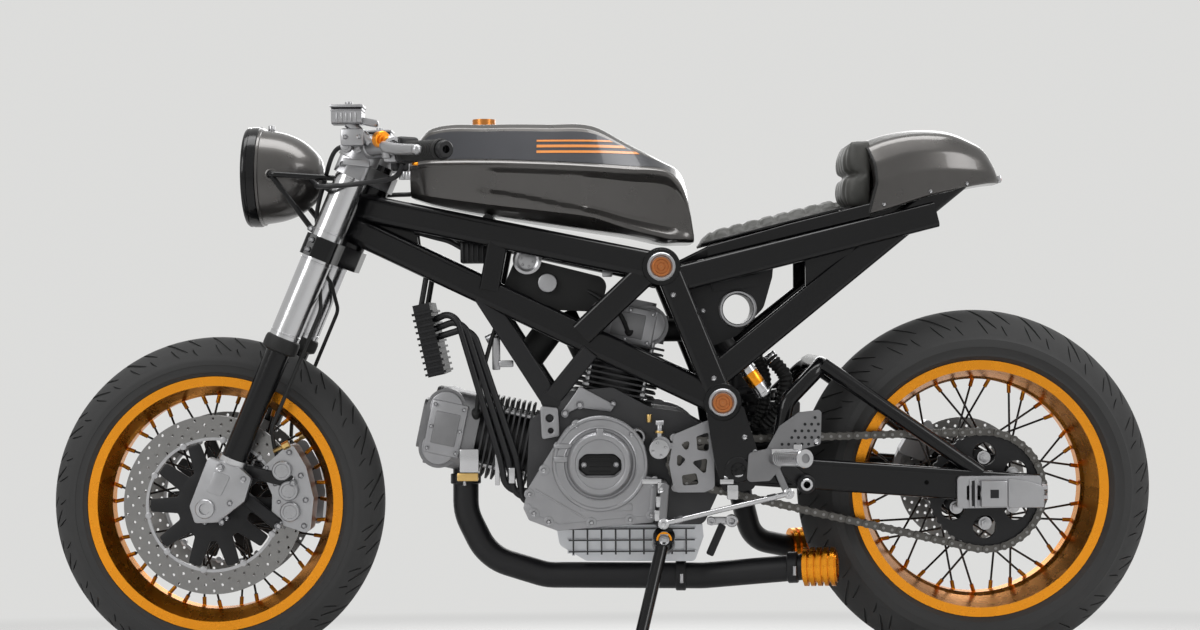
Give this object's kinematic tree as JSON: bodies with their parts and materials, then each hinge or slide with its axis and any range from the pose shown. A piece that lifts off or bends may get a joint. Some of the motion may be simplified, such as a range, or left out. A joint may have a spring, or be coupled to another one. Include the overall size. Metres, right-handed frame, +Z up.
{
  "type": "cafe racer motorcycle",
  "caption": "Cafe racer motorcycle with V-twin engine, oval-beam frame, wire-spoked wheels, clip-on bars and single seat, leaning on its side stand",
  "frame": {"origin": "middle of the footprint on the ground, under the leaned motorcycle", "axes": "X runs rearwards along the wheelbase, Y to the rider's right, Z up"},
  "size_m": [1.9883, 0.7332, 1.0132],
  "materials": {
    "tyre_rubber": "matt",
    "rim_gold": "satin gold",
    "hub_black": "satin black",
    "disc_steel": "ground",
    "chain_steel": "oiled",
    "frame_black": "gloss black",
    "plug_silver": "turned",
    "tank_grey": "satin metallic",
    "cap_bronze": "anodised bronze",
    "seat_leather": "stitched",
    "seat_black": "gloss black",
    "lamp_red": "clear red",
    "engine_grey": "cast",
    "cover_black": "satin black",
    "head_silver": "cast",
    "rubber_black": "matt",
    "pipe_black": "heat resistant matt black",
    "can_gold": "satin gold",
    "fork_silver": "polished",
    "stanchion_black": "gloss black",
    "steel": "plain",
    "lamp_silver": "satin silver",
    "lens_glass": "clear"
  },
  "bodies": {
    "chassis": {"drive_chain": "chain_steel", "front_sprocket": "chain_steel", "frame_head": "frame_black", "frame_top_beams": "frame_black", "frame_down_beams": "frame_black", "frame_struts": "frame_black", "frame_cross_tubes": "frame_black", "frame_plugs": "plug_silver", "pivot_plates": "frame_black", "seat_frame": "frame_black", "fuel_tank": "tank_grey", "tank_cap": "cap_bronze", "seat_pan": "seat_black", "seat_pad": "seat_leather", "seat_back_pad": "seat_leather", "tail_cowl": "tank_grey", "tail_light": "lamp_red", "crankcase": "engine_grey", "engine_covers": "cover_black", "cylinders": "engine_grey", "cylinder_heads": "head_silver", "sump": "engine_grey", "engine_hangers": "frame_black", "intake": "rubber_black", "oil_cooler": "cover_black", "exhaust_pipes": "pipe_black", "exhaust_cans": "can_gold", "tail_box": "pipe_black", "swingarm": "frame_black", "swingarm_bridge": "frame_black", "rear_axle": "plug_silver", "rear_caliper": "plug_silver", "rear_shock": "cover_black", "rearsets": "plug_silver", "stand_bracket": "steel"},
    "steering": {"fork_outer_tubes": "fork_silver", "fork_stanchions": "stanchion_black", "axle_clamps": "fork_silver", "lower_clamp": "frame_black", "upper_clamp": "plug_silver", "front_axle": "steel", "clip_ons": "plug_silver", "grips": "rubber_black", "bar_controls": "plug_silver", "headlight_bowl": "lamp_silver", "headlight_rim": "frame_black", "headlight_lens": "lens_glass", "headlight_stays": "frame_black", "front_calipers": "plug_silver", "brake_lines": "rubber_black"},
    "front_wheel": {"front_tyre": "tyre_rubber", "front_rim": "rim_gold", "front_hub": "hub_black", "front_discs": "disc_steel"},
    "rear_wheel": {"rear_tyre": "tyre_rubber", "rear_rim": "rim_gold", "rear_hub": "hub_black", "rear_sprocket": "chain_steel", "rear_disc": "disc_steel"},
    "side_stand": {"side_stand": "frame_black"}
  },
  "joints": [
    {"name": "steering", "type": "hinge", "parent": "chassis", "child": "steering", "pos_m": [-0.66353, 0.08611, 0.28453], "axis": [0.3907, -0.1281, 0.9115], "range_deg": [-27, 27]},
    {"name": "front_wheel_spin", "type": "hinge", "parent": "steering", "child": "front_wheel", "pos_m": [-0.69483, 0.08426, 0.29768], "axis": [0, 0.9903, 0.1392], "continuous": true},
    {"name": "rear_wheel_spin", "type": "hinge", "parent": "chassis", "child": "rear_wheel", "pos_m": [0.67517, 0.08142, 0.31784], "axis": [0, 0.9903, 0.1392], "continuous": true},
    {"name": "stand_fold", "type": "hinge", "parent": "chassis", "child": "side_stand", "pos_m": [0.10718, -0.05847, 0.22107], "axis": [0, -0.9063, 0.4226], "range_deg": [0, 110]}
  ]
}
